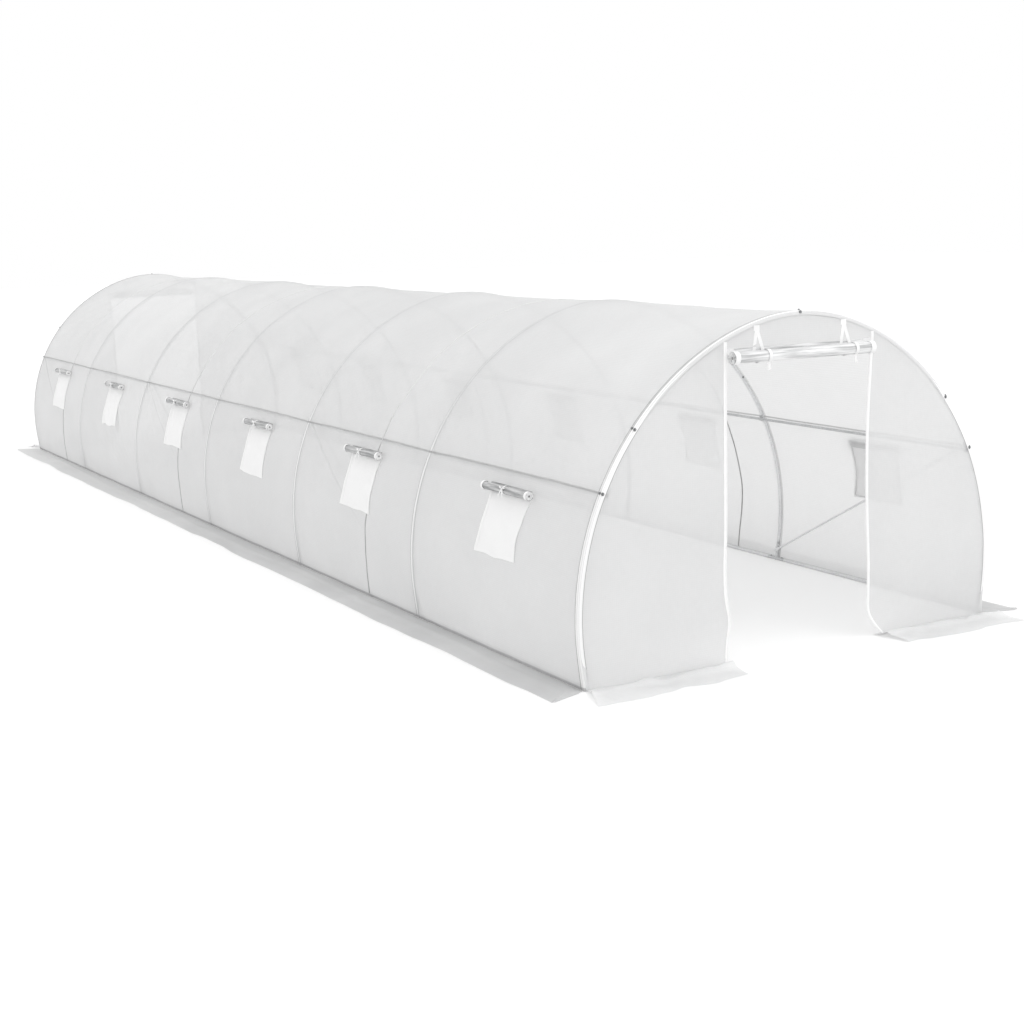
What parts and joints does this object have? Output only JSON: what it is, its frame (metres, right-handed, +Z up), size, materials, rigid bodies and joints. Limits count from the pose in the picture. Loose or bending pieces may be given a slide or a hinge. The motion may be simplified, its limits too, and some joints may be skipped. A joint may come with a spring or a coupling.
{
  "type": "polytunnel greenhouse",
  "caption": "Walk-in tunnel greenhouse of bent steel tube arches under a translucent film cover, with zipped roll-up doors, netted side windows and ground skirts.",
  "frame": {"origin": "centre of the tunnel's plan, on the ground", "axes": "+Y along the tunnel from the front door end to the rear, +Z up, +X to the right seen from the front"},
  "size_m": [3.5032, 12.5806, 2],
  "materials": {
    "galvanised_tube": "zinc coated steel tube, dull silver",
    "galvanised_fitting": "zinc coated pressed steel",
    "cover_film": "milky translucent polyethylene film with a fine reinforcing grid",
    "rolled_film": "polyethylene film rolled up in many layers",
    "insect_net": "fine white insect netting",
    "zip_tape": "white woven zip tape with coil teeth",
    "ribbon": "white woven ribbon"
  },
  "bodies": {
    "root": {"arch_1": "galvanised_tube", "arch_2": "galvanised_tube", "arch_3": "galvanised_tube", "arch_4": "galvanised_tube", "arch_5": "galvanised_tube", "arch_6": "galvanised_tube", "arch_7": "galvanised_tube", "base_rail_left": "galvanised_tube", "base_rail_right": "galvanised_tube", "braces_left": "galvanised_tube", "braces_right": "galvanised_tube", "foot_fittings_left": "galvanised_fitting", "foot_fittings_right": "galvanised_fitting", "front_door_roll": "rolled_film", "front_door_ties": "ribbon", "front_door_zips": "zip_tape", "front_skirt_left": "cover_film", "front_skirt_right": "cover_film", "front_wall_left": "cover_film", "front_wall_right": "cover_film", "front_wall_top": "cover_film", "rail_brackets_left": "galvanised_fitting", "rail_brackets_right": "galvanised_fitting", "rear_door_roll": "rolled_film", "rear_door_ties": "ribbon", "rear_door_zips": "zip_tape", "rear_skirt_left": "cover_film", "rear_skirt_right": "cover_film", "rear_wall_left": "cover_film", "rear_wall_right": "cover_film", "rear_wall_top": "cover_film", "roof": "cover_film", "side_rail_left": "galvanised_tube", "side_rail_right": "galvanised_tube", "side_wall_left": "cover_film", "side_wall_right": "cover_film", "skirt_left": "cover_film", "skirt_right": "cover_film", "window_nets_left": "insect_net", "window_nets_right": "insect_net", "window_rolls_left": "rolled_film", "window_rolls_right": "rolled_film", "window_ties_left": "ribbon", "window_ties_right": "ribbon"}
  },
  "joints": []
}
